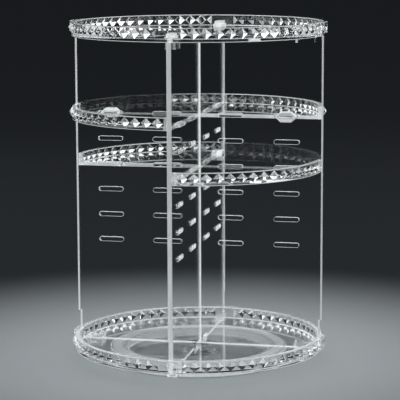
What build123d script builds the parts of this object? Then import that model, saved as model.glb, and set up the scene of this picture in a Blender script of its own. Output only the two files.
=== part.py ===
from build123d import *
import os
from math import cos, radians

# Rotating cosmetics organizer: two round trays with diamond-cut walls, joined by two clear panels
# that cross in the middle, with four hooked quarter trays, all turning on a ball-bearing foot.
# Millimetres. +Z is up, the origin is on the table under the turning axis. The wide panel lies
# along X, the cross panel along Y.

# ---------------------------------------------------------------- driving dimensions
TIP_RADIUS = 115.0          # round trays, over the tips of the diamond cuts
WALL_RADIUS = 112.0         # outside of the tray walls, under the cuts
INNER_RADIUS = 108.5        # inside of the tray walls
FLOOR = 2.4                 # thickness of every tray floor
TRAY_HEIGHT = 12.2          # round trays
SHELF_HEIGHT = 11.0         # quarter trays
BASE_Z = 10.6               # underside of the base tray
TOP_Z = 293.8               # underside of the top tray

PANEL = 4.0                 # thickness of both upright panels
PANEL_HALF = 113.4          # half width of a panel
PANEL_HALF_LOW = 111.5      # half width where it drops into the base tray
STEP_Z = 39.0               # height of the step between those widths
TAB_IN = 91.0               # tabs that plug the panels into the trays, nearest the axis
TAB_OUT = 104.0             # and furthest from it
TAB_DEPTH = 4.4             # how far the lower tabs go below the base tray's floor top
TAB_RISE = 5.8              # how far the upper tabs rise over the top tray's underside
NOTCH_HALF = 28.0           # notch under the cross panel, half length
NOTCH_HEIGHT = 4.0

SLOT_LENGTH = 22.5
SLOT_HEIGHT = 3.6
SLOT_COLUMNS = (30.0, 81.0)  # distance of the slots from the axis
SLOT_ROWS = 6
SLOT_PITCH = 23.2
TOP_ROW_Z = 222.4           # centre height of the highest row

CUTS = 68                   # diamond cuts in a full circle
CUT_ARC = 360.0 / CUTS
CUT_HALF_WIDTH = 5.05
CUT_HALF_HEIGHT = 4.75
CUT_TOP_GAP = 0.35          # plain strip over the cuts
CUT_ROOT = 1.2              # how deep a cut's stem reaches into the wall
BLOCK_HALF = 10.7           # half width of the plain block at each panel end
BLOCK_INNER = 110.0         # where the block starts, inside the wall

SOCKET_WALL = 2.0           # sockets for the panel tabs: wall beyond each end of a tab
SOCKET_WIDTH = 9.0
SOCKET_LIP = 6.0            # guide rails beside the panel
SOCKET_CUP = 6.0            # closed end under the base tray's floor
END_PLATE = 1.2             # plate that closes the inner end of a base socket
END_PLATE_WIDTH = 12.0
BOX_SHOULDER = 2.2          # boxes over the top tray's floor: height of the wide lower part
BOX_RISE = 4.8              # and of the whole box
BOX_TOP_WIDTH = 6.4
FIT = 0.2                   # gap beside a panel, each side
END_FIT = 0.2               # gap at the end of a panel or tab

SHELF_LOW = -2.4            # underside of a quarter tray, from the middle of its slots
SHELF_GAP = 0.3             # between a quarter tray and the panel beside it
BAR_HEIGHT = 3.1            # bar along each straight edge, which carries the tongues
BAR_WIDTH = 2.6
TONGUE_WIDTH = 20.0
TONGUE_THICK = 3.2
TONGUE_PROUD = 2.5          # plain tongue beyond the panel's far face
STEM_WIDTH = 12.0           # thin end of the tongue that carries the locking clip
STEM_THICK = 2.2
CLIP_LENGTH = 20.4          # oval locking clip, over its points
CLIP_FLAT = 9.6
CLIP_HEIGHT = 9.4
CLIP_DEPTH = 5.0
CLIP_Z = -0.4               # middle of a clip, from the middle of its slot
CLIP_RIM = 1.5              # raised rim around the clip's dished face
CLIP_DISH = 0.8
CLIP_CORNER = 2.0
CLIP_EDGE = 0.7
CLIP_FIT = 0.1

FOOT_RADIUS = 80.5
FOOT_TOP = 9.6
FOOT_BASE = 0.8             # underside of the foot, over the table
FOOT_FLOOR_TOP = 3.6
RACE_RADIUS = 74.0          # circle of the ball centres
TROUGH_HALF = 5.0           # half width of the ball trough
TROUGH_FLOOR = 4.3
TROUGH_INNER_WALL = 65.5
BALLS = 16
BALL_RADIUS = 2.5
BALL_Z = 6.05
BALL_FIT = 0.08
CAGE_HALF = 4.4
CAGE_LOW = 5.3
CAGE_HIGH = 6.8
POCKET_RADIUS = 2.7
UPPER_RACE_HALF = 4.0
UPPER_RACE_LOW = 7.9

BOSS_RADIUS = 9.0           # pivot boss under the base tray
BOSS_LOW = 3.9
HUB_RADIUS = 20.0           # hub of the foot around it
PIVOT_FIT = 0.08
RECESS_RADIUS = 13.0        # recess under the hub for the washer and screw head
RECESS_TOP = 4.25
WASHER_RADIUS = 12.0
WASHER = 1.0
SCREW_RADIUS = 2.45
SCREW_HOLE = 2.5
SCREW_HEAD_RADIUS = 5.0
SCREW_HEAD = 1.9
SCREW_TIP_Z = 9.7
RECESS_CROSS = (5.0, 1.0, 0.9)

PADS = 6
PAD_RADIUS = 6.0
PAD_CIRCLE = 58.0
PAD_THICK = 2.0
PAD_FIT = 0.1

EDGE = 0.35                 # small rounding on moulded edges
SLOT_EDGE = 0.25            # bevel around a panel's slots
PANEL_ROUND = 1.0           # rounding of a panel's upright ends
LIP_ROUND = 0.5             # rounding on top of the tray walls
INNER_ROUND = 1.2           # rounding between floor and wall

# ---------------------------------------------------------------- worked-out sizes
PANEL_FACE = PANEL / 2
PANEL_LOW_Z = BASE_Z + FLOOR
PANEL_HIGH_Z = TOP_Z - END_FIT
LAP_Z = (PANEL_LOW_Z + PANEL_HIGH_Z) / 2
SHELF_EDGE = PANEL_FACE + SHELF_GAP
SOCKET_IN = TAB_IN - SOCKET_WALL
SOCKET_OUT = TAB_OUT + SOCKET_WALL
WASHER_LOW = BOSS_LOW - WASHER
CHORD_RADIUS = WALL_RADIUS * cos(radians(CUT_ARC / 2))

os.makedirs("parts", exist_ok=True)


def finish(part, name):
    """Label a finished piece and write it to its own file."""
    part.label = name
    export_step(part, f"parts/{name}.step")


def diamond(middle):
    """One diamond cut on the +X side of a wall: a rhombic pyramid on a short stem."""
    corners = (
        (CUT_HALF_WIDTH, middle),
        (0, middle + CUT_HALF_HEIGHT),
        (-CUT_HALF_WIDTH, middle),
        (0, middle - CUT_HALF_HEIGHT),
    )
    stem = [(CHORD_RADIUS - CUT_ROOT, y, z) for y, z in corners]
    base = [(CHORD_RADIUS, y, z) for y, z in corners]
    tip = (TIP_RADIUS, 0, middle)
    return ConvexPolyhedron(stem + base + [tip], mode=Mode.PRIVATE)


def add_diamonds(wall_top, quarters):
    """Add the diamond cuts of the first quarters, which stop short of the panel ends."""
    cut = diamond(wall_top - CUT_TOP_GAP - CUT_HALF_HEIGHT)
    per_quarter = CUTS // 4
    for quarter in range(quarters):
        start = 90.0 * quarter + CUT_ARC
        arc = CUT_ARC * (per_quarter - 2)
        with PolarLocations(0, per_quarter - 1, start, arc, endpoint=True):
            add(cut)


def tray_profile(low_z, height):
    """Half section of a tray: floor and wall, rounded inside and along the top."""
    corners = Polygon(
        (0, low_z),
        (WALL_RADIUS, low_z),
        (WALL_RADIUS, low_z + height),
        (INNER_RADIUS, low_z + height),
        (INNER_RADIUS, low_z + FLOOR),
        (0, low_z + FLOOR),
        align=None,
    ).vertices()
    inside = corners.group_by(Axis.Y)[1].sort_by(Axis.X)[-1]
    fillet(inside, INNER_ROUND)
    fillet(corners.group_by(Axis.Y)[-1], LIP_ROUND)


def add_spoke_boxes(inner, outer, width, low_z, high_z):
    """Add an upright box on each of the four spokes where a panel end stands."""
    with PolarLocations(inner, 4):
        with Locations((0, 0, low_z)):
            Box(
                outer - inner,
                width,
                high_z - low_z,
                align=(Align.MIN, Align.CENTER, Align.MIN),
            )


def cut_slots(inner, outer, low_z, high_z):
    """Cut a panel-wide slot along each of the four spokes."""
    with PolarLocations((inner + outer) / 2, 4):
        with Locations((0, 0, low_z)):
            Box(
                outer - inner,
                PANEL + 2 * FIT,
                high_z - low_z,
                align=(Align.CENTER, Align.CENTER, Align.MIN),
                mode=Mode.SUBTRACT,
            )


def add_blocks(wall_top):
    """Add the plain block of the wall at each panel end."""
    length = TIP_RADIUS - BLOCK_INNER
    with PolarLocations(BLOCK_INNER + length / 2, 4):
        with Locations((0, 0, wall_top)):
            Box(
                length,
                2 * BLOCK_HALF,
                2 * CUT_HALF_HEIGHT + CUT_TOP_GAP,
                align=(Align.CENTER, Align.CENTER, Align.MAX),
            )


# ---------------------------------------------------------------- foot
with BuildPart() as foot_disc:
    with BuildSketch(Plane.XZ):
        with BuildLine():
            Polyline(
                (BOSS_RADIUS + PIVOT_FIT, RECESS_TOP),
                (RECESS_RADIUS, RECESS_TOP),
                (RECESS_RADIUS, FOOT_BASE),
                (FOOT_RADIUS, FOOT_BASE),
                (FOOT_RADIUS, FOOT_TOP),
                (RACE_RADIUS + TROUGH_HALF, FOOT_TOP),
                (RACE_RADIUS + TROUGH_HALF, TROUGH_FLOOR),
                (RACE_RADIUS - TROUGH_HALF, TROUGH_FLOOR),
                (RACE_RADIUS - TROUGH_HALF, FOOT_TOP),
                (TROUGH_INNER_WALL, FOOT_TOP),
                (TROUGH_INNER_WALL, FOOT_FLOOR_TOP),
                (HUB_RADIUS, FOOT_FLOOR_TOP),
                (HUB_RADIUS, FOOT_TOP),
                (BOSS_RADIUS + PIVOT_FIT, FOOT_TOP),
                close=True,
            )
        make_face()
        with Locations((RACE_RADIUS, BALL_Z)):
            Circle(BALL_RADIUS + BALL_FIT, mode=Mode.SUBTRACT)
    revolve(axis=Axis.Z)
    rims = foot_disc.edges().filter_by(GeomType.CIRCLE).group_by(Axis.Z)[-1]
    fillet(rims, EDGE)
    with BuildSketch(Plane.XY.offset(FOOT_BASE)):
        with PolarLocations(PAD_CIRCLE, PADS):
            Circle(PAD_RADIUS + PAD_FIT)
    extrude(amount=PAD_THICK - FOOT_BASE, mode=Mode.SUBTRACT)
finish(foot_disc.part, "foot_disc")

with BuildPart() as foot_pads:
    with BuildSketch(Plane.XY):
        with PolarLocations(PAD_CIRCLE, PADS):
            Circle(PAD_RADIUS)
    extrude(amount=PAD_THICK)
    fillet(foot_pads.edges().group_by(Axis.Z)[0], EDGE)
finish(foot_pads.part, "foot_pads")

# ---------------------------------------------------------------- ball race
with BuildPart() as ball_cage:
    with BuildSketch(Plane.XY.offset(CAGE_LOW)):
        Circle(RACE_RADIUS + CAGE_HALF)
        Circle(RACE_RADIUS - CAGE_HALF, mode=Mode.SUBTRACT)
        with PolarLocations(RACE_RADIUS, BALLS):
            Circle(POCKET_RADIUS, mode=Mode.SUBTRACT)
    extrude(amount=CAGE_HIGH - CAGE_LOW)
finish(ball_cage.part, "ball_cage")

with BuildPart() as bearing_balls:
    with Locations((0, 0, BALL_Z)):
        with PolarLocations(RACE_RADIUS, BALLS):
            Sphere(BALL_RADIUS)
finish(bearing_balls.part, "bearing_balls")

with BuildPart() as upper_race:
    with BuildSketch(Plane.XZ):
        with Locations((RACE_RADIUS, UPPER_RACE_LOW)):
            Rectangle(
                2 * UPPER_RACE_HALF,
                BASE_Z - UPPER_RACE_LOW,
                align=(Align.CENTER, Align.MIN),
            )
        with Locations((RACE_RADIUS, BALL_Z)):
            Circle(BALL_RADIUS + BALL_FIT, mode=Mode.SUBTRACT)
    revolve(axis=Axis.Z)
finish(upper_race.part, "upper_race")

# ---------------------------------------------------------------- pivot screw and washer
with BuildPart() as pivot_washer:
    with BuildSketch(Plane.XY.offset(WASHER_LOW)):
        Circle(WASHER_RADIUS)
        Circle(SCREW_HOLE, mode=Mode.SUBTRACT)
    extrude(amount=WASHER)
finish(pivot_washer.part, "pivot_washer")

with BuildPart() as pivot_screw:
    with BuildSketch(Plane.XY.offset(WASHER_LOW)):
        Circle(SCREW_HEAD_RADIUS)
    extrude(amount=-SCREW_HEAD)
    fillet(pivot_screw.edges().group_by(Axis.Z)[0], SCREW_HEAD / 2)
    with BuildSketch(Plane.XY.offset(WASHER_LOW)):
        Circle(SCREW_RADIUS)
    extrude(amount=SCREW_TIP_Z - WASHER_LOW)
    chamfer(pivot_screw.edges().group_by(Axis.Z)[-1], EDGE)
    with BuildSketch(Plane.XY.offset(WASHER_LOW - SCREW_HEAD)):
        Rectangle(RECESS_CROSS[0], RECESS_CROSS[1])
        Rectangle(RECESS_CROSS[1], RECESS_CROSS[0])
    extrude(amount=RECESS_CROSS[2], mode=Mode.SUBTRACT)
finish(pivot_screw.part, "pivot_screw")

# ---------------------------------------------------------------- round trays
with BuildPart() as base_tray:
    with BuildSketch(Plane.XZ):
        tray_profile(BASE_Z, TRAY_HEIGHT)
    revolve(axis=Axis.Z)
    add_diamonds(BASE_Z + TRAY_HEIGHT, 4)
    add_blocks(BASE_Z + TRAY_HEIGHT)
    socket_low = PANEL_LOW_Z - SOCKET_CUP
    socket_high = PANEL_LOW_Z + SOCKET_LIP
    add_spoke_boxes(SOCKET_IN, SOCKET_OUT, SOCKET_WIDTH, socket_low, socket_high)
    add_spoke_boxes(SOCKET_IN, SOCKET_IN + END_PLATE, END_PLATE_WIDTH, socket_low, socket_high)
    with BuildSketch(Plane.XY.offset(BOSS_LOW)):
        Circle(BOSS_RADIUS)
    extrude(amount=BASE_Z - BOSS_LOW)
    cut_slots(SOCKET_IN - 1, PANEL_HALF_LOW + FIT, PANEL_LOW_Z, BASE_Z + TRAY_HEIGHT + 1)
    cut_slots(TAB_IN - FIT, TAB_OUT + FIT, PANEL_LOW_Z - TAB_DEPTH - END_FIT, PANEL_LOW_Z)
    with BuildSketch(Plane.XY.offset(BOSS_LOW)):
        Circle(SCREW_HOLE)
    extrude(amount=SCREW_TIP_Z + END_FIT - BOSS_LOW, mode=Mode.SUBTRACT)
finish(base_tray.part, "base_tray")

with BuildPart() as top_tray:
    with BuildSketch(Plane.XZ):
        tray_profile(TOP_Z, TRAY_HEIGHT)
    revolve(axis=Axis.Z)
    add_diamonds(TOP_Z + TRAY_HEIGHT, 4)
    add_blocks(TOP_Z + TRAY_HEIGHT)
    socket_low = TOP_Z - SOCKET_LIP
    box_low = TOP_Z + FLOOR
    add_spoke_boxes(SOCKET_IN, SOCKET_OUT, SOCKET_WIDTH, socket_low, box_low + BOX_SHOULDER)
    add_spoke_boxes(SOCKET_IN, SOCKET_OUT, BOX_TOP_WIDTH, box_low, box_low + BOX_RISE)
    cut_slots(SOCKET_IN - 1, SOCKET_OUT + 1, socket_low - 1, TOP_Z)
    cut_slots(TAB_IN - FIT, TAB_OUT + FIT, TOP_Z, TOP_Z + TAB_RISE + END_FIT)
finish(top_tray.part, "top_tray")


# ---------------------------------------------------------------- upright panels
def panel_outline():
    """Outline of a panel, drawn flat: stepped sides and four tabs."""
    right = (
        (0, PANEL_LOW_Z),
        (TAB_IN, PANEL_LOW_Z),
        (TAB_IN, PANEL_LOW_Z - TAB_DEPTH),
        (TAB_OUT, PANEL_LOW_Z - TAB_DEPTH),
        (TAB_OUT, PANEL_LOW_Z),
        (PANEL_HALF_LOW, PANEL_LOW_Z),
        (PANEL_HALF_LOW, STEP_Z),
        (PANEL_HALF, STEP_Z),
        (PANEL_HALF, PANEL_HIGH_Z),
        (TAB_OUT, PANEL_HIGH_Z),
        (TAB_OUT, TOP_Z + TAB_RISE),
        (TAB_IN, TOP_Z + TAB_RISE),
        (TAB_IN, PANEL_HIGH_Z),
        (0, PANEL_HIGH_Z),
    )
    left = [(-x, z) for x, z in reversed(right[1:-1])]
    Polygon(*right, *left, align=None)


def panel_slots():
    """The rows of slots that the quarter trays hook into."""
    columns = [side * column for side in (-1, 1) for column in SLOT_COLUMNS]
    rows = [TOP_ROW_Z - SLOT_PITCH * row for row in range(SLOT_ROWS)]
    with Locations(*[(x, z) for x in columns for z in rows]):
        SlotOverall(SLOT_LENGTH, SLOT_HEIGHT, mode=Mode.SUBTRACT)


def half_lap(low_z, high_z):
    """The slot at the middle of a panel that the other panel slides into."""
    with Locations((0, low_z)):
        Rectangle(
            PANEL + 2 * FIT,
            high_z - low_z,
            align=(Align.CENTER, Align.MIN),
            mode=Mode.SUBTRACT,
        )


def soften_panel(panel, along, across):
    """Round a panel's upright ends and bevel its slots."""
    ends = [
        edge
        for edge in panel.edges().filter_by(Axis.Z)
        if abs(edge.center().dot(along.direction)) > PANEL_HALF_LOW - 1
    ]
    fillet(ends, PANEL_ROUND)
    sides = panel.faces().filter_by(across).group_by(Face.area.fget)[-1]
    rims = [edge for side in sides for wire in side.inner_wires() for edge in wire.edges()]
    chamfer(rims, SLOT_EDGE)


with BuildPart() as wide_panel:
    with BuildSketch(Plane.XZ.offset(-PANEL_FACE)):
        panel_outline()
        panel_slots()
        half_lap(LAP_Z - FIT / 2, PANEL_HIGH_Z + 1)
    extrude(amount=PANEL)
    soften_panel(wide_panel, Axis.X, Axis.Y)
finish(wide_panel.part, "wide_panel")

with BuildPart() as cross_panel:
    with BuildSketch(Plane.YZ.offset(-PANEL_FACE)):
        panel_outline()
        panel_slots()
        half_lap(PANEL_LOW_Z - 1, LAP_Z + FIT / 2)
        with Locations((0, PANEL_LOW_Z)):
            Rectangle(
                2 * NOTCH_HALF,
                NOTCH_HEIGHT,
                align=(Align.CENTER, Align.MIN),
                mode=Mode.SUBTRACT,
            )
    extrude(amount=PANEL)
    soften_panel(cross_panel, Axis.Y, Axis.X)
finish(cross_panel.part, "cross_panel")

# ---------------------------------------------------------------- quarter trays and their clips
# Drawn once in the quarter between +X and +Y, with the slot centre at height 0, then turned into
# place. The edge beside X carries the locking clip, the edge beside Y a plain tongue.
FAR_FACE = -PANEL_FACE

with BuildPart() as shelf:
    with BuildSketch(Plane.XZ):
        tray_profile(SHELF_LOW, SHELF_HEIGHT)
    revolve(axis=Axis.Z)
    add_diamonds(SHELF_LOW + SHELF_HEIGHT, 1)
    with Locations((SHELF_EDGE, SHELF_EDGE, SHELF_LOW - 1)):
        Box(
            TIP_RADIUS,
            TIP_RADIUS,
            SHELF_HEIGHT + 2,
            align=Align.MIN,
            mode=Mode.INTERSECT,
        )
    with Locations((SHELF_EDGE, SHELF_EDGE, SHELF_LOW)):
        Box(INNER_RADIUS - SHELF_EDGE, BAR_WIDTH, BAR_HEIGHT, align=Align.MIN)
        Box(BAR_WIDTH, INNER_RADIUS - SHELF_EDGE, BAR_HEIGHT, align=Align.MIN)
    for column in SLOT_COLUMNS:
        reach = TONGUE_PROUD if column == SLOT_COLUMNS[-1] else 0
        with Locations((column, SHELF_EDGE + 1, 0)):
            Box(
                TONGUE_WIDTH,
                PANEL + SHELF_GAP + 1,
                TONGUE_THICK,
                align=(Align.CENTER, Align.MAX, Align.CENTER),
            )
        with Locations((SHELF_EDGE + 1, column, 0)):
            Box(
                PANEL + SHELF_GAP + 1 + reach,
                TONGUE_WIDTH,
                TONGUE_THICK,
                align=(Align.MAX, Align.CENTER, Align.CENTER),
            )
    with Locations((SLOT_COLUMNS[-1], FAR_FACE, CLIP_Z)):
        Box(
            STEM_WIDTH,
            CLIP_DEPTH,
            STEM_THICK,
            align=(Align.CENTER, Align.MAX, Align.CENTER),
        )



def clip_outline():
    """Outline of a locking clip: a long hexagon."""
    with Locations((SLOT_COLUMNS[-1], CLIP_Z)):
        Polygon(
            (CLIP_LENGTH / 2, 0),
            (CLIP_FLAT / 2, CLIP_HEIGHT / 2),
            (-CLIP_FLAT / 2, CLIP_HEIGHT / 2),
            (-CLIP_LENGTH / 2, 0),
            (-CLIP_FLAT / 2, -CLIP_HEIGHT / 2),
            (CLIP_FLAT / 2, -CLIP_HEIGHT / 2),
            align=None,
        )


with BuildPart() as clip:
    with BuildSketch(Plane.XZ.offset(-FAR_FACE + CLIP_FIT)) as clip_sketch:
        clip_outline()
        fillet(clip_sketch.vertices(), CLIP_CORNER)
    extrude(amount=CLIP_DEPTH - CLIP_FIT)
    fillet(clip.faces().sort_by(Axis.Y)[0].edges(), CLIP_EDGE)
    with BuildSketch(Plane.XZ.offset(-FAR_FACE + CLIP_DEPTH)) as dish_sketch:
        clip_outline()
        fillet(dish_sketch.vertices(), CLIP_CORNER)
        offset(amount=-CLIP_RIM)
    extrude(amount=-CLIP_DISH, mode=Mode.SUBTRACT)
    with Locations((SLOT_COLUMNS[-1], FAR_FACE, CLIP_Z)):
        Box(
            STEM_WIDTH + 2 * CLIP_FIT,
            CLIP_DEPTH + 1,
            STEM_THICK + 2 * CLIP_FIT,
            align=(Align.CENTER, Align.MAX, Align.CENTER),
            mode=Mode.SUBTRACT,
        )

THIRD_ROW_Z = TOP_ROW_Z - 2 * SLOT_PITCH
PLACES = (
    ("back_right", 0, TOP_ROW_Z),
    ("back_left", 90, THIRD_ROW_Z),
    ("front_left", 180, TOP_ROW_Z),
    ("front_right", 270, THIRD_ROW_Z),
)
for side, turn, height in PLACES:
    place = Location((0, 0, height), (0, 0, turn))
    finish(shelf.part.moved(place), f"shelf_{side}")
    finish(clip.part.moved(place), f"lock_clip_{side}")
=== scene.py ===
"""Clear turning cosmetics tower in a plain studio.

Two round trays with diamond-cut walls, two crossed panels and four hooked quarter trays turn on a
ball-bearing foot. Everything is in metres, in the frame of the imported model, +Z up. Sizes in
millimetres are turned to metres where a node takes them.
"""

import logging
import math
from dataclasses import dataclass, field
from enum import Enum
from typing import Any

import bpy
from mathutils import Matrix, Vector


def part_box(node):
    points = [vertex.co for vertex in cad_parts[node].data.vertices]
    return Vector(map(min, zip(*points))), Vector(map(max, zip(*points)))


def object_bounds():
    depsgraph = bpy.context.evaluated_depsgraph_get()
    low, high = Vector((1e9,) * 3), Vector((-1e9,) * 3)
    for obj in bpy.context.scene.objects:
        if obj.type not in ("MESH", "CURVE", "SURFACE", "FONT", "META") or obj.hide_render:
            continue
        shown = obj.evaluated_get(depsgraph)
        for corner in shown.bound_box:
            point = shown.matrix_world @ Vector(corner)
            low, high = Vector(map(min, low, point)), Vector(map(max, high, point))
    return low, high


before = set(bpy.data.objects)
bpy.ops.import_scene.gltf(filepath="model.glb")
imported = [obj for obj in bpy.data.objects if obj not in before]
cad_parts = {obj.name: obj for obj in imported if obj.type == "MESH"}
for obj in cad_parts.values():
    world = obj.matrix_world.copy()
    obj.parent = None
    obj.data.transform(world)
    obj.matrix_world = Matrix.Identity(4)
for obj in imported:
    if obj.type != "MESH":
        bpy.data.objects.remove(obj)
cad_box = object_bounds()

LOG = logging.getLogger("tower")
MM = 0.001
SLACK_MM = 0.1              # so that a limit takes in a face that lies on it
CLEAR_BOUNCES = 32          # light passes many walls of the clear pieces
GLOSSY_BOUNCES = 8


def linear(hex_colour: str) -> tuple[float, float, float, float]:
    """Turn an sRGB hex colour into Blender's linear RGBA.

    Args:
        hex_colour: six hex digits after a hash, such as "#E4E8EA".

    Returns:
        Linear red, green and blue, and an alpha of 1.
    """
    parts = [int(hex_colour[i:i + 2], 16) / 255 for i in (1, 3, 5)]
    red, green, blue = (
        part / 12.92 if part <= 0.04045 else ((part + 0.055) / 1.055) ** 2.4 for part in parts
    )
    return red, green, blue, 1.0


def add_node(tree: bpy.types.NodeTree, kind: str, values: dict[str | int, Any] | None = None,
             links: dict[str | int, bpy.types.NodeSocket] | None = None,
             **settings: Any) -> bpy.types.Node:
    """Add one shader node with its settings, socket values and incoming links.

    Args:
        tree: the node tree to add to.
        kind: the node's Blender type name.
        values: socket name or index to the value it holds.
        links: socket name or index to the socket that feeds it.
        **settings: properties of the node itself.

    Returns:
        The new node.
    """
    node = tree.nodes.new(kind)
    for name, value in settings.items():
        setattr(node, name, value)
    for socket, value in (values or {}).items():
        node.inputs[socket].default_value = value
    for socket, source in (links or {}).items():
        tree.links.new(source, node.inputs[socket])
    return node


def new_material(name: str) -> tuple[bpy.types.Material, bpy.types.NodeTree]:
    """Make an empty node material and return it with its tree."""
    material = bpy.data.materials.new(name)
    material.use_nodes = True
    material.node_tree.nodes.clear()
    return material, material.node_tree


def skin_normal(tree: bpy.types.NodeTree, grain_mm: float, depth_mm: float, detail: float = 2.0,
                strength: float = 1.0) -> bpy.types.NodeSocket:
    """Make the fine unevenness of a skin, fixed to the object.

    Args:
        tree: the node tree to add to.
        grain_mm: the size of one swelling.
        depth_mm: how far it stands proud.
        detail: how many finer swellings lie on it.
        strength: how much of it shows.

    Returns:
        The socket with the bumped normal.
    """
    place = add_node(tree, "ShaderNodeTexCoord")
    grain = add_node(tree, "ShaderNodeTexNoise", {"Scale": 1 / (grain_mm * MM), "Detail": detail},
                     {"Vector": place.outputs["Object"]})
    bump = add_node(tree, "ShaderNodeBump", {"Strength": strength, "Distance": depth_mm * MM},
                    {"Height": grain.outputs["Fac"]})
    return bump.outputs["Normal"]


# ---------------------------------------------------------------- where a moulding is painted white as painted light
class Measure(Enum):
    """What a limit is measured on: a place in the object's own frame, or the way a face looks."""

    X = "distance from the cross panel's middle"
    Y = "distance from the wide panel's middle"
    Z = "height over the table"
    BACK = "distance towards the back from the wide panel's middle"
    RADIUS = "distance from the turning axis"
    FACING_X = "how squarely a face looks along X"
    FACING_Y = "how squarely a face looks along Y"
    FACING_UP = "how squarely a face looks up"


@dataclass(frozen=True)
class Limit:
    """One bound on a measure: millimetres for a place, 0 to 1 for the way a face looks.

    The painted white sets in at the bound, or grows from there over a stretch.
    """

    measure: Measure
    over: float | None = None
    under: float | None = None
    stretch: float = 0.0

    def step(self, tree: bpy.types.NodeTree, socket: bpy.types.NodeSocket) -> bpy.types.NodeSocket:
        """Turn the measure into 1 inside the bound and 0 outside it, with a ramp over a stretch.

        Args:
            tree: the node tree to add to.
            socket: the measure itself.

        Returns:
            The socket with the number from 0 to 1.
        """
        above = self.over is not None
        bound = self.over if above else self.under
        scale = 1.0 if self.measure.name.startswith("FACING") else MM
        if self.stretch:
            full = bound + self.stretch if above else bound - self.stretch
            return add_node(tree, "ShaderNodeMapRange",
                            {"From Min": bound * scale, "From Max": full * scale},
                            {"Value": socket}).outputs["Result"]
        return add_node(tree, "ShaderNodeMath", {1: bound * scale}, {0: socket},
                        operation="GREATER_THAN" if above else "LESS_THAN").outputs[0]


@dataclass(frozen=True)
class Zone:
    """A stretch of a moulding painted whiter than the rest as painted light, inside all of its
    limits.
    """

    limits: tuple[Limit, ...]
    strength: float


@dataclass
class Gauge:
    """Measures a point on a surface for one material's zones."""

    tree: bpy.types.NodeTree
    sockets: dict[Measure, bpy.types.NodeSocket] = field(default_factory=dict)

    def __post_init__(self) -> None:
        """Read the place and the way the face looks, once for all zones."""
        tree = self.tree
        place = add_node(tree, "ShaderNodeTexCoord")
        spot = add_node(tree, "ShaderNodeSeparateXYZ", links={0: place.outputs["Object"]})
        facing = add_node(tree, "ShaderNodeSeparateXYZ", links={0: place.outputs["Normal"]})
        flat = add_node(tree, "ShaderNodeVectorMath", {1: (1, 1, 0)},
                        {0: place.outputs["Object"]}, operation="MULTIPLY")
        radius = add_node(tree, "ShaderNodeVectorMath", links={0: flat.outputs[0]},
                          operation="LENGTH")
        self.sockets = {
            Measure.X: self.size(spot.outputs["X"]),
            Measure.Y: self.size(spot.outputs["Y"]),
            Measure.Z: spot.outputs["Z"],
            Measure.BACK: spot.outputs["Y"],
            Measure.RADIUS: radius.outputs["Value"],
            Measure.FACING_X: self.size(facing.outputs["X"]),
            Measure.FACING_Y: self.size(facing.outputs["Y"]),
            Measure.FACING_UP: facing.outputs["Z"],
        }

    def size(self, socket: bpy.types.NodeSocket) -> bpy.types.NodeSocket:
        """Drop the sign of a measure."""
        return add_node(self.tree, "ShaderNodeMath", links={0: socket},
                        operation="ABSOLUTE").outputs[0]

    def inside(self, zone: Zone) -> bpy.types.NodeSocket:
        """Say how much painted white a point gets from one zone.

        Args:
            zone: the zone to test.

        Returns:
            A socket with the zone's strength inside it and 0 outside.
        """
        white: bpy.types.NodeSocket | None = None
        for limit in zone.limits:
            step = limit.step(self.tree, self.sockets[limit.measure])
            white = step if white is None else add_node(
                self.tree, "ShaderNodeMath", links={0: white, 1: step},
                operation="MULTIPLY").outputs[0]
        return add_node(self.tree, "ShaderNodeMath", {1: zone.strength}, {0: white},
                        operation="MULTIPLY").outputs[0]

    def most_painted_white(self, zones: tuple[Zone, ...]) -> bpy.types.NodeSocket:
        """Say how much painted white a point gets, the most over all zones."""
        white = self.inside(zones[0])
        for zone in zones[1:]:
            white = add_node(self.tree, "ShaderNodeMath", links={0: white, 1: self.inside(zone)},
                             operation="MAXIMUM").outputs[0]
        return white


# ---------------------------------------------------------------- finishes
@dataclass(frozen=True)
class ClearStyrene:
    """Crystal styrene from a polished mould: water-clear, with painted white light in its edges.

    Its high index makes bright, crisp facets. Its zones are painted white: painted highlights on
    edges, rims and bevels, and painted glow where light runs out to an edge. Slight sink marks make
    reflections waver.
    """

    name: str
    zones: tuple[Zone, ...]
    colour: str = "#FDFEFE"
    ior: float = 1.57
    roughness: float = 0.012
    edge_roughness: float = 0.32
    painted_white_body: float = 0.85
    ripple_mm: float = 30.0
    ripple_depth_mm: float = 0.02
    light_through: str = "#FBFCFC"

    def build(self) -> bpy.types.Material:
        """Build the node material.

        Returns:
            The finished material.
        """
        material, tree = new_material(self.name)
        ripple = skin_normal(tree, self.ripple_mm, self.ripple_depth_mm)
        # painted highlights and painted glow: inside the zones less light goes through and more
        # comes back white
        white = Gauge(tree).most_painted_white(self.zones)
        clear = add_node(tree, "ShaderNodeMapRange",
                         {"To Min": 1.0, "To Max": 1 - self.painted_white_body}, {"Value": white})
        blur = add_node(tree, "ShaderNodeMapRange",
                        {"To Min": self.roughness, "To Max": self.edge_roughness},
                        {"Value": white})
        body = add_node(tree, "ShaderNodeBsdfPrincipled",
                        {"Base Color": linear(self.colour), "Roughness": self.roughness,
                         "IOR": self.ior, "Transmission Weight": 1.0},
                        {"Normal": ripple, "Roughness": blur.outputs["Result"],
                         "Transmission Weight": clear.outputs["Result"]})
        through = add_node(tree, "ShaderNodeBsdfTransparent",
                           {"Color": linear(self.light_through)})
        path = add_node(tree, "ShaderNodeLightPath")
        mixed = add_node(tree, "ShaderNodeMixShader",
                         links={"Fac": path.outputs["Is Shadow Ray"], 1: body.outputs["BSDF"],
                                2: through.outputs["BSDF"]})
        add_node(tree, "ShaderNodeOutputMaterial", links={"Surface": mixed.outputs["Shader"]})
        return material


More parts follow.
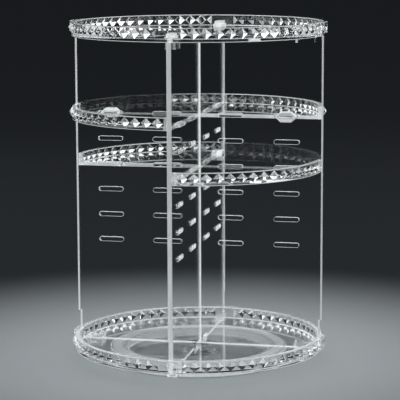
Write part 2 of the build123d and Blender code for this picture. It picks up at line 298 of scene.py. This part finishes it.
@dataclass(frozen=True)
class MouldedPlastic:
    """A waxy, part-clear moulding: frosted acetal in the race, milky styrene in the clips.

    Light soaks in and comes back white, under a soft sheen and a fine skin from the mould.
    """

    name: str
    colour: str
    ior: float
    roughness: float
    clearness: float
    grain_mm: float = 0.8
    grain_depth_mm: float = 0.015
    grain_detail: float = 3.0

    def build(self) -> bpy.types.Material:
        """Build the node material.

        Returns:
            The finished material.
        """
        material, tree = new_material(self.name)
        skin = skin_normal(tree, self.grain_mm, self.grain_depth_mm, self.grain_detail)
        body = add_node(tree, "ShaderNodeBsdfPrincipled",
                        {"Base Color": linear(self.colour), "Roughness": self.roughness,
                         "IOR": self.ior, "Transmission Weight": self.clearness},
                        {"Normal": skin})
        add_node(tree, "ShaderNodeOutputMaterial", links={"Surface": body.outputs["BSDF"]})
        return material


@dataclass(frozen=True)
class Steel:
    """Steel: polished for the balls, zinc-plated and duller for the screw and washer."""

    name: str
    colour: str
    roughness: float
    grain_mm: float = 0.6
    grain_detail: float = 4.0
    spread: tuple[float, float] = (0.8, 1.3)

    def build(self) -> bpy.types.Material:
        """Build the node material.

        Returns:
            The finished material.
        """
        material, tree = new_material(self.name)
        place = add_node(tree, "ShaderNodeTexCoord")
        grain = add_node(tree, "ShaderNodeTexNoise",
                         {"Scale": 1 / (self.grain_mm * MM), "Detail": self.grain_detail},
                         {"Vector": place.outputs["Object"]})
        smooth, rough = (self.roughness * part for part in self.spread)
        blur = add_node(tree, "ShaderNodeMapRange", {"To Min": smooth, "To Max": rough},
                        {"Value": grain.outputs["Fac"]})
        body = add_node(tree, "ShaderNodeBsdfPrincipled",
                        {"Base Color": linear(self.colour), "Metallic": 1.0},
                        {"Roughness": blur.outputs["Result"]})
        add_node(tree, "ShaderNodeOutputMaterial", links={"Surface": body.outputs["BSDF"]})
        return material


@dataclass(frozen=True)
class SiliconeRubber:
    """Grey silicone rubber, moulded: matt, with a fine skin."""

    name: str = "silicone_rubber"
    colour: str = "#9EA3A5"
    ior: float = 1.41
    roughness: float = 0.55
    grain_mm: float = 0.5
    grain_depth_mm: float = 0.05
    grain_strength: float = 0.4

    def build(self) -> bpy.types.Material:
        """Build the node material.

        Returns:
            The finished material.
        """
        material, tree = new_material(self.name)
        skin = skin_normal(tree, self.grain_mm, self.grain_depth_mm, strength=self.grain_strength)
        body = add_node(tree, "ShaderNodeBsdfPrincipled",
                        {"Base Color": linear(self.colour), "Roughness": self.roughness,
                         "IOR": self.ior}, {"Normal": skin})
        add_node(tree, "ShaderNodeOutputMaterial", links={"Surface": body.outputs["BSDF"]})
        return material


def dress(node: str, material: bpy.types.Material) -> None:
    """Give a CAD node one material in place of its plain one.

    Args:
        node: the node's name.
        material: the finish to show.
    """
    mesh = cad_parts[node].data
    mesh.materials.clear()
    mesh.materials.append(material)
    LOG.info("%s is dressed in %s", node, material.name)


# ---------------------------------------------------------------- sub-assemblies
@dataclass(frozen=True)
class CutWall:
    """The diamond-cut wall of a tray: its rounded rim and its foot get painted highlights.

    Each ..._painted_highlight is how strong the painted highlight on that part is, from 0 to 1.
    """

    top_mm: float
    height_mm: float
    inner_radius_mm: float = 108.5
    rim_mm: float = 0.6
    foot_mm: float = 0.6
    flat_from: float = 0.97
    edge_painted_highlight: float = 0.85
    rim_painted_highlight: float = 0.3
    foot_painted_highlight: float = 0.8

    def zones(self) -> tuple[Zone, ...]:
        """List where the wall gets painted highlights.

        Returns:
            The rounded edges of the rim, its flat top and the wall's lower edge.
        """
        rim = (Limit(Measure.RADIUS, over=self.inner_radius_mm - SLACK_MM),
               Limit(Measure.Z, over=self.top_mm - self.rim_mm))
        foot_top = self.top_mm - self.height_mm + self.foot_mm
        return (
            Zone((*rim, Limit(Measure.FACING_UP, under=self.flat_from)), self.edge_painted_highlight),
            Zone(rim, self.rim_painted_highlight),
            Zone((Limit(Measure.RADIUS, over=self.inner_radius_mm),
                  Limit(Measure.Z, under=foot_top)), self.foot_painted_highlight),
        )


@dataclass
class TurningFoot:
    """The foot on the table: clear disc, rubber pads, ball race, pivot screw and washer."""

    disc: str = "foot_disc"
    pads: str = "foot_pads"
    rings: tuple[str, ...] = ("ball_cage", "upper_race")
    balls: str = "bearing_balls"
    pivot: tuple[str, ...] = ("pivot_washer", "pivot_screw")
    edge_mm: float = 0.6
    groove_mm: float = 65.5
    groove_edge_mm: float = 1.2
    edge_painted_highlight: float = 0.9
    groove_edge_painted_highlight: float = 0.8
    groove_painted_highlight: float = 0.25

    def build(self) -> None:
        """Dress the foot's pieces. The disc gets painted highlights at its edge and round its race.
        """
        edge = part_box(self.disc)[1][0] / MM - self.edge_mm
        bright = (
            Zone((Limit(Measure.RADIUS, over=edge),), self.edge_painted_highlight),
            Zone((Limit(Measure.RADIUS, over=self.groove_mm - self.groove_edge_mm),
                  Limit(Measure.RADIUS, under=self.groove_mm)), self.groove_edge_painted_highlight),
            Zone((Limit(Measure.RADIUS, over=self.groove_mm),), self.groove_painted_highlight),
        )
        dress(self.disc, ClearStyrene("clear_styrene_foot", bright).build())
        dress(self.pads, SiliconeRubber().build())
        acetal = MouldedPlastic("frosted_acetal", "#F6F8F9", ior=1.48, roughness=0.38,
                                clearness=0.2).build()
        for ring in self.rings:
            dress(ring, acetal)
        dress(self.balls, Steel("bearing_steel", "#C9CBCE", roughness=0.08).build())
        zinc = Steel("zinc_plated_steel", "#B9BBBF", roughness=0.3).build()
        for part in self.pivot:
            dress(part, zinc)


@dataclass
class RoundTray:
    """A round tray with a diamond-cut wall and boxes that hold the panel tabs."""

    node: str
    boxes_painted_highlight: float
    floor_top_mm: float
    height_mm: float = 12.2
    plate_painted_highlight: float = 0.3
    box_in_mm: float = 89.0
    box_out_mm: float = 106.0
    box_half_mm: float = 6.1
    plate_mm: float = 1.3

    def zones(self) -> tuple[Zone, ...]:
        """List where the tray's edges get painted highlights.

        Returns:
            The zones of its wall and of the boxes on the four spokes.
        """
        wall = CutWall(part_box(self.node)[1][2] / MM, self.height_mm)
        spokes = []
        for along, beside in ((Measure.X, Measure.Y), (Measure.Y, Measure.X)):
            inside = (Limit(along, over=self.box_in_mm - SLACK_MM),
                      Limit(beside, under=self.box_half_mm))
            plate = Limit(along, under=self.box_in_mm + self.plate_mm)
            box = (Limit(along, under=self.box_out_mm),
                   Limit(Measure.RADIUS, under=wall.inner_radius_mm),
                   Limit(Measure.Z, over=self.floor_top_mm))
            spokes.append(Zone((*inside, plate), self.plate_painted_highlight))
            spokes.append(Zone((*inside, *box), self.boxes_painted_highlight))
        return *wall.zones(), *spokes

    def build(self) -> None:
        """Dress the tray."""
        dress(self.node, ClearStyrene(f"clear_styrene_{self.node}", self.zones()).build())


@dataclass
class CrossedPanels:
    """The two upright panels that cross in the middle.

    A bevel looks less squarely along the panel's thickness than its broad faces and more than its
    ends. Each ..._painted_highlight or ..._painted_glow is how strong the painted light on that
    part is, from 0 to 1.
    """

    wide: str = "wide_panel"
    cross: str = "cross_panel"
    bevel_facing: tuple[float, float] = (0.2, 0.95)
    bevel_painted_highlight: float = 0.5
    end_band_mm: float = 1.2
    end_painted_highlight: float = 0.95
    middle_band_mm: float = 2.4
    middle_painted_highlight: float = 0.95
    top_z_mm: float = 293.8
    top_painted_highlight: float = 0.4
    foot_z_mm: float = 12.9
    foot_painted_highlight: float = 0.6
    edge_mm: float = 0.7
    step_z_mm: float = 39.0
    step_mm: float = 1.9
    end_glow_mm: float = 12.0
    end_painted_glow: float = 0.9
    middle_glow_mm: float = 6.0
    middle_painted_glow: float = 0.3

    def edges(self, along: Measure, facing: Measure) -> tuple[Zone, ...]:
        """List where a panel's edges get painted highlights.

        Args:
            along: the measure along its width.
            facing: the way its broad faces look.

        Returns:
            The bevels round its slots, its ends, its top, its foot and the joint in its middle.
        """
        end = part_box(self.wide)[1][0] / MM - self.end_band_mm
        least, most = self.bevel_facing
        return (
            Zone((Limit(facing, under=most), Limit(facing, over=least)), self.bevel_painted_highlight),
            Zone((Limit(along, over=end),), self.end_painted_highlight),
            Zone((Limit(along, over=end - self.step_mm),
                  Limit(Measure.Z, under=self.step_z_mm)), self.end_painted_highlight),
            Zone((Limit(Measure.Z, over=self.top_z_mm - self.edge_mm),), self.top_painted_highlight),
            Zone((Limit(Measure.Z, over=self.foot_z_mm),
                  Limit(Measure.Z, under=self.foot_z_mm + self.edge_mm)), self.foot_painted_highlight),
            Zone((Limit(along, under=self.middle_band_mm),), self.middle_painted_highlight),
        )

    def build(self) -> None:
        """Dress both panels. The cross panel also gets a painted glow in its far end and middle,
        fading over a stretch.
        """
        wide = self.edges(Measure.X, Measure.FACING_Y)
        dress(self.wide, ClearStyrene(f"clear_styrene_{self.wide}", wide).build())
        far_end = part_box(self.cross)[1][1] / MM
        # painted glow: whiter towards the cross panel's far end and towards its middle
        end_glow = Limit(Measure.BACK, over=far_end - self.end_glow_mm, stretch=self.end_glow_mm)
        middle_glow = Limit(Measure.Y, under=self.middle_glow_mm, stretch=self.middle_glow_mm)
        cross = (
            *self.edges(Measure.Y, Measure.FACING_X),
            Zone((end_glow,), self.end_painted_glow),
            Zone((middle_glow,), self.middle_painted_glow),
        )
        dress(self.cross, ClearStyrene(f"clear_styrene_{self.cross}", cross).build())


@dataclass
class QuarterTrays:
    """The four hooked quarter trays and the oval clips that lock them.

    Each tray has a bar along the wide panel and one along the cross panel. They get painted
    highlights, stronger or fainter by the side that they lie on, as the light falls there.
    """

    sides: tuple[str, ...] = ("back_right", "back_left", "front_left", "front_right")
    height_mm: float = 11.0
    bar_mm: tuple[float, float] = (2.2, 4.95)
    back_bars_painted_light: tuple[float, float] = (0.6, 0.2)
    front_bars_painted_light: tuple[float, float] = (0.15, 0.35)

    def tray(self, side: str) -> None:
        """Dress one quarter tray: painted highlights on the bars along the panels and on the rim
        and foot of its wall.

        Args:
            side: the quarter that it hangs in.
        """
        node = f"shelf_{side}"
        wall = CutWall(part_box(node)[1][2] / MM, self.height_mm)
        near, far = self.bar_mm
        beside_wide, beside_cross = (
            self.back_bars_painted_light if side.startswith("back") else self.front_bars_painted_light
        )
        bright = (
            Zone((Limit(Measure.Y, over=near), Limit(Measure.Y, under=far)), beside_wide),
            Zone((Limit(Measure.X, over=near), Limit(Measure.X, under=far)), beside_cross),
            *wall.zones(),
        )
        dress(node, ClearStyrene(f"clear_styrene_{node}", bright).build())

    def build(self) -> None:
        """Dress the trays and their clips."""
        milky = MouldedPlastic("milky_styrene", "#FAFDFD", ior=1.57, roughness=0.25,
                               clearness=0.08).build()
        for side in self.sides:
            self.tray(side)
            dress(f"lock_clip_{side}", milky)


# ---------------------------------------------------------------- studio
@dataclass(frozen=True)
class Softbox:
    """A rectangular softbox that looks at the tower.

    Lengths are in metres, and the bearing in degrees to the right of the viewing direction.
    """

    name: str
    bearing: float
    distance: float
    height: float
    width: float
    tall: float
    radiance: float


SOFTBOXES = (
    Softbox("softbox_left", -105.0, 1.2, 0.85, 0.7, 1.1, 1.8),
    Softbox("softbox_right", 110.0, 1.2, 0.85, 0.7, 1.1, 2.1),
    Softbox("strip_back_left", -30.0, 1.4, 0.85, 0.6, 1.0, 1.5),
    Softbox("strip_back_right", 41.0, 1.4, 0.85, 0.55, 1.0, 1.5),
    Softbox("softbox_top", 0.0, 0.01, 1.8, 1.6, 1.6, 0.75),
    Softbox("softbox_front", 180.0, 1.5, 1.3, 1.2, 0.8, 2.2),
)


@dataclass
class Studio:
    """Floor, lamps, world and the camera that matches the photograph.

    Lengths are in metres and angles in degrees. The azimuth turns the camera about the tower, from
    straight in front towards +X.
    """

    target: Vector
    distance: float = 1.59735
    eye_height: float = 0.3919
    azimuth: float = 12.40
    yaw: float = 0.06
    pitch: float = 8.80
    roll: float = 0.20
    lens_mm: float = 161.0
    sensor_mm: float = 36.0
    painted_pool_colour: str = "#949899"
    far_colour: str = "#26282A"
    room_colour: str = "#1C1D1F"
    ceiling_colour: str = "#C0C4C8"
    ceiling_angles: tuple[float, float] = (12.0, 22.0)
    floor_radius: float = 40.0
    painted_pool_radius: float = 0.12
    painted_pool_fade_radius: float = 0.45

    def camera(self) -> bpy.types.Object:
        """Place the camera where the photograph was taken from.

        Returns:
            The camera object.
        """
        around = math.radians(self.azimuth)
        heading = math.radians(self.azimuth - self.yaw)
        down = math.radians(self.pitch)
        twist = math.radians(self.roll)
        eye = Vector((self.distance * math.sin(around), -self.distance * math.cos(around),
                      self.eye_height))
        ahead = Vector((-math.sin(heading) * math.cos(down), math.cos(heading) * math.cos(down),
                        -math.sin(down)))
        level = Vector((math.cos(heading), math.sin(heading), 0))
        upright = level.cross(ahead)
        right = level * math.cos(twist) - upright * math.sin(twist)
        top = upright * math.cos(twist) + level * math.sin(twist)
        data = bpy.data.cameras.new("photo_camera")
        data.lens = self.lens_mm
        data.sensor_width = self.sensor_mm
        camera = bpy.data.objects.new("photo_camera", data)
        camera.matrix_world = Matrix((
            (right.x, top.x, -ahead.x, eye.x),
            (right.y, top.y, -ahead.y, eye.y),
            (right.z, top.z, -ahead.z, eye.z),
            (0, 0, 0, 1),
        ))
        bpy.context.scene.collection.objects.link(camera)
        bpy.context.scene.camera = camera
        return camera

    def floor(self) -> None:
        """Lay the floor: pale round the tower as a painted pool of light, darkening away from it.
        """
        material, tree = new_material("studio_floor")
        place = add_node(tree, "ShaderNodeTexCoord")
        reach = add_node(tree, "ShaderNodeVectorMath", links={0: place.outputs["Object"]},
                         operation="LENGTH")
        fade = add_node(tree, "ShaderNodeMapRange",
                        {"From Min": self.painted_pool_radius, "From Max": self.painted_pool_fade_radius},
                        {"Value": reach.outputs["Value"]}, interpolation_type="SMOOTHSTEP")
        tone = add_node(tree, "ShaderNodeMixRGB",
                        {"Color1": linear(self.painted_pool_colour), "Color2": linear(self.far_colour)},
                        {"Fac": fade.outputs["Result"]})
        body = add_node(tree, "ShaderNodeBsdfPrincipled",
                        {"Roughness": 1.0, "Specular IOR Level": 0.0},
                        {"Base Color": tone.outputs["Color"]})
        add_node(tree, "ShaderNodeOutputMaterial", links={"Surface": body.outputs["BSDF"]})
        mesh = bpy.data.meshes.new("studio_floor")
        side = self.floor_radius
        mesh.from_pydata([(-side, -side, 0), (side, -side, 0), (side, side, 0), (-side, side, 0)],
                         [], [(0, 1, 2, 3)])
        mesh.materials.append(material)
        floor = bpy.data.objects.new("studio_floor", mesh)
        bpy.context.scene.collection.objects.link(floor)

    def lamp(self, box: Softbox) -> None:
        """Hang one softbox and turn it to the tower.

        Args:
            box: the softbox, placed by its bearing from the viewing direction.
        """
        bearing = math.radians(self.azimuth - box.bearing)
        place = Vector((-math.sin(bearing) * box.distance, math.cos(bearing) * box.distance,
                        box.height))
        data = bpy.data.lights.new(box.name, "AREA")
        data.shape = "RECTANGLE"
        data.size, data.size_y = box.width, box.tall
        data.energy = box.radiance * math.pi * box.width * box.tall
        lamp = bpy.data.objects.new(box.name, data)
        lamp.location = place
        lamp.rotation_euler = (self.target - place).to_track_quat("-Z", "Y").to_euler()
        lamp.visible_camera = False
        bpy.context.scene.collection.objects.link(lamp)

    def world(self) -> None:
        """Put a dark room with a soft pale ceiling around the tower.

        The ceiling starts well over the horizon. It lights the cut facets and the edges, while the
        flat floors of the trays still mirror the dark room.
        """
        world = bpy.data.worlds.new("studio_world")
        world.use_nodes = True
        tree = world.node_tree
        tree.nodes.clear()
        way = add_node(tree, "ShaderNodeTexCoord")
        height = add_node(tree, "ShaderNodeSeparateXYZ", links={0: way.outputs["Generated"]})
        low, high = (math.sin(math.radians(angle)) for angle in self.ceiling_angles)
        ceiling = add_node(tree, "ShaderNodeMapRange", {"From Min": low, "From Max": high},
                           {"Value": height.outputs["Z"]}, interpolation_type="SMOOTHSTEP")
        tone = add_node(tree, "ShaderNodeMixRGB",
                        {"Color1": linear(self.room_colour), "Color2": linear(self.ceiling_colour)},
                        {"Fac": ceiling.outputs["Result"]})
        sky = add_node(tree, "ShaderNodeBackground", links={"Color": tone.outputs["Color"]})
        add_node(tree, "ShaderNodeOutputWorld", links={"Surface": sky.outputs["Background"]})
        bpy.context.scene.world = world

    def build(self) -> None:
        """Set the stage."""
        self.camera()
        self.floor()
        self.world()
        for box in SOFTBOXES:
            self.lamp(box)


def main() -> None:
    """Set the studio, then dress the tower from the foot up."""
    logging.basicConfig(level=logging.INFO, format="%(name)s: %(message)s")
    scene = bpy.context.scene
    scene.view_settings.view_transform = "Standard"
    scene.cycles.max_bounces = CLEAR_BOUNCES
    scene.cycles.transmission_bounces = CLEAR_BOUNCES
    scene.cycles.transparent_max_bounces = CLEAR_BOUNCES
    scene.cycles.glossy_bounces = GLOSSY_BOUNCES
    Studio(target=Vector((0, 0, cad_box[1][2] / 2))).build()
    TurningFoot().build()
    # the base tray's boxes get a faint painted highlight and the top tray's a strong one, as lit
    # and shaded copies
    RoundTray("base_tray", boxes_painted_highlight=0.08, floor_top_mm=13.0).build()
    CrossedPanels().build()
    QuarterTrays().build()
    RoundTray("top_tray", boxes_painted_highlight=0.85, floor_top_mm=296.2).build()


if __name__ == "__main__":
    main()
